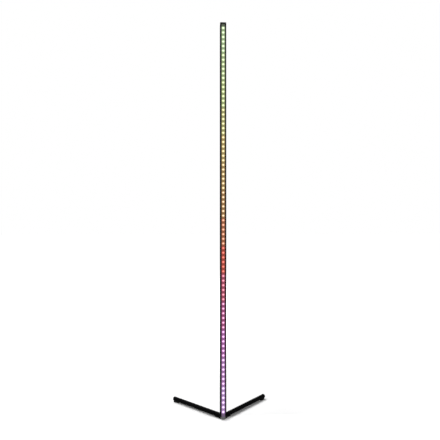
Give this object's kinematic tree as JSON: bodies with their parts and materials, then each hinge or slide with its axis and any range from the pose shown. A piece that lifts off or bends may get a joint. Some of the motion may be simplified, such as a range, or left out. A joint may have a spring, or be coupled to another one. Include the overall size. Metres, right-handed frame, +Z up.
{
  "type": "corner floor lamp",
  "caption": "Slim upright light bar with a full-height lit window, standing on a low hub whose round legs open at a right angle and fold in behind it.",
  "frame": {"origin": "on the light bar's axis, at floor level, on the underside of the hub's sole", "axes": "+Z up along the light bar; the light window faces -Y; the legs reach back at 45 degrees on each side of +Y; +X to the right seen from the window"},
  "size_m": [0.368, 0.194, 1.435],
  "materials": {
    "bar_black": "satin black anodised extrusion",
    "window_cover": "smoke-tinted and translucent, lit from behind in a colour gradient",
    "strip_white": "white flexible circuit",
    "led_lens": "clear lens in a white body",
    "chip_black": "moulded epoxy",
    "cap_black": "fine-grained moulding",
    "hub_black": "satin black powder coat",
    "leg_black": "satin black powder coat",
    "shoe_grey": "satin grey moulding",
    "rubber_black": "matt",
    "zinc_steel": "zinc plated",
    "screw_black": "black oxide",
    "nylon_white": "natural nylon",
    "socket_black": "moulded",
    "pin_brass": "turned",
    "wire_jacket": "one red and one black jacket"
  },
  "bodies": {
    "stand": {"lower_profile": "bar_black", "middle_profile": "bar_black", "upper_profile": "bar_black", "lower_joiner": "zinc_steel", "upper_joiner": "zinc_steel", "joiner_screws": "screw_black", "light_cover": "window_cover", "led_strip": "strip_white", "led_packages": "led_lens", "driver_chips": "chip_black", "strip_resistors": "chip_black", "top_cap": "cap_black", "cap_screws": "screw_black", "corner_hub": "hub_black", "bar_shoe": "shoe_grey", "hub_sole": "rubber_black", "pole_screws": "zinc_steel", "hinge_washers": "nylon_white", "left_hinge_pin": "zinc_steel", "right_hinge_pin": "zinc_steel", "power_socket": "socket_black", "socket_pin": "pin_brass", "supply_wires": "wire_jacket"},
    "left_leg": {"left_leg_bar": "leg_black", "left_end_plug": "cap_black", "left_foot": "rubber_black", "left_foot_screw": "zinc_steel"},
    "right_leg": {"right_leg_bar": "leg_black", "right_end_plug": "cap_black", "right_foot": "rubber_black", "right_foot_screw": "zinc_steel"}
  },
  "joints": [
    {"name": "left_leg_fold", "type": "hinge", "parent": "stand", "child": "left_leg", "pos_m": [-0.0198, 0.0198, 0.00985], "axis": [0, 0, -1], "range_deg": [0, 45]},
    {"name": "right_leg_fold", "type": "hinge", "parent": "stand", "child": "right_leg", "pos_m": [0.0198, 0.0198, 0.00985], "axis": [0, 0, 1], "range_deg": [0, 45]}
  ]
}
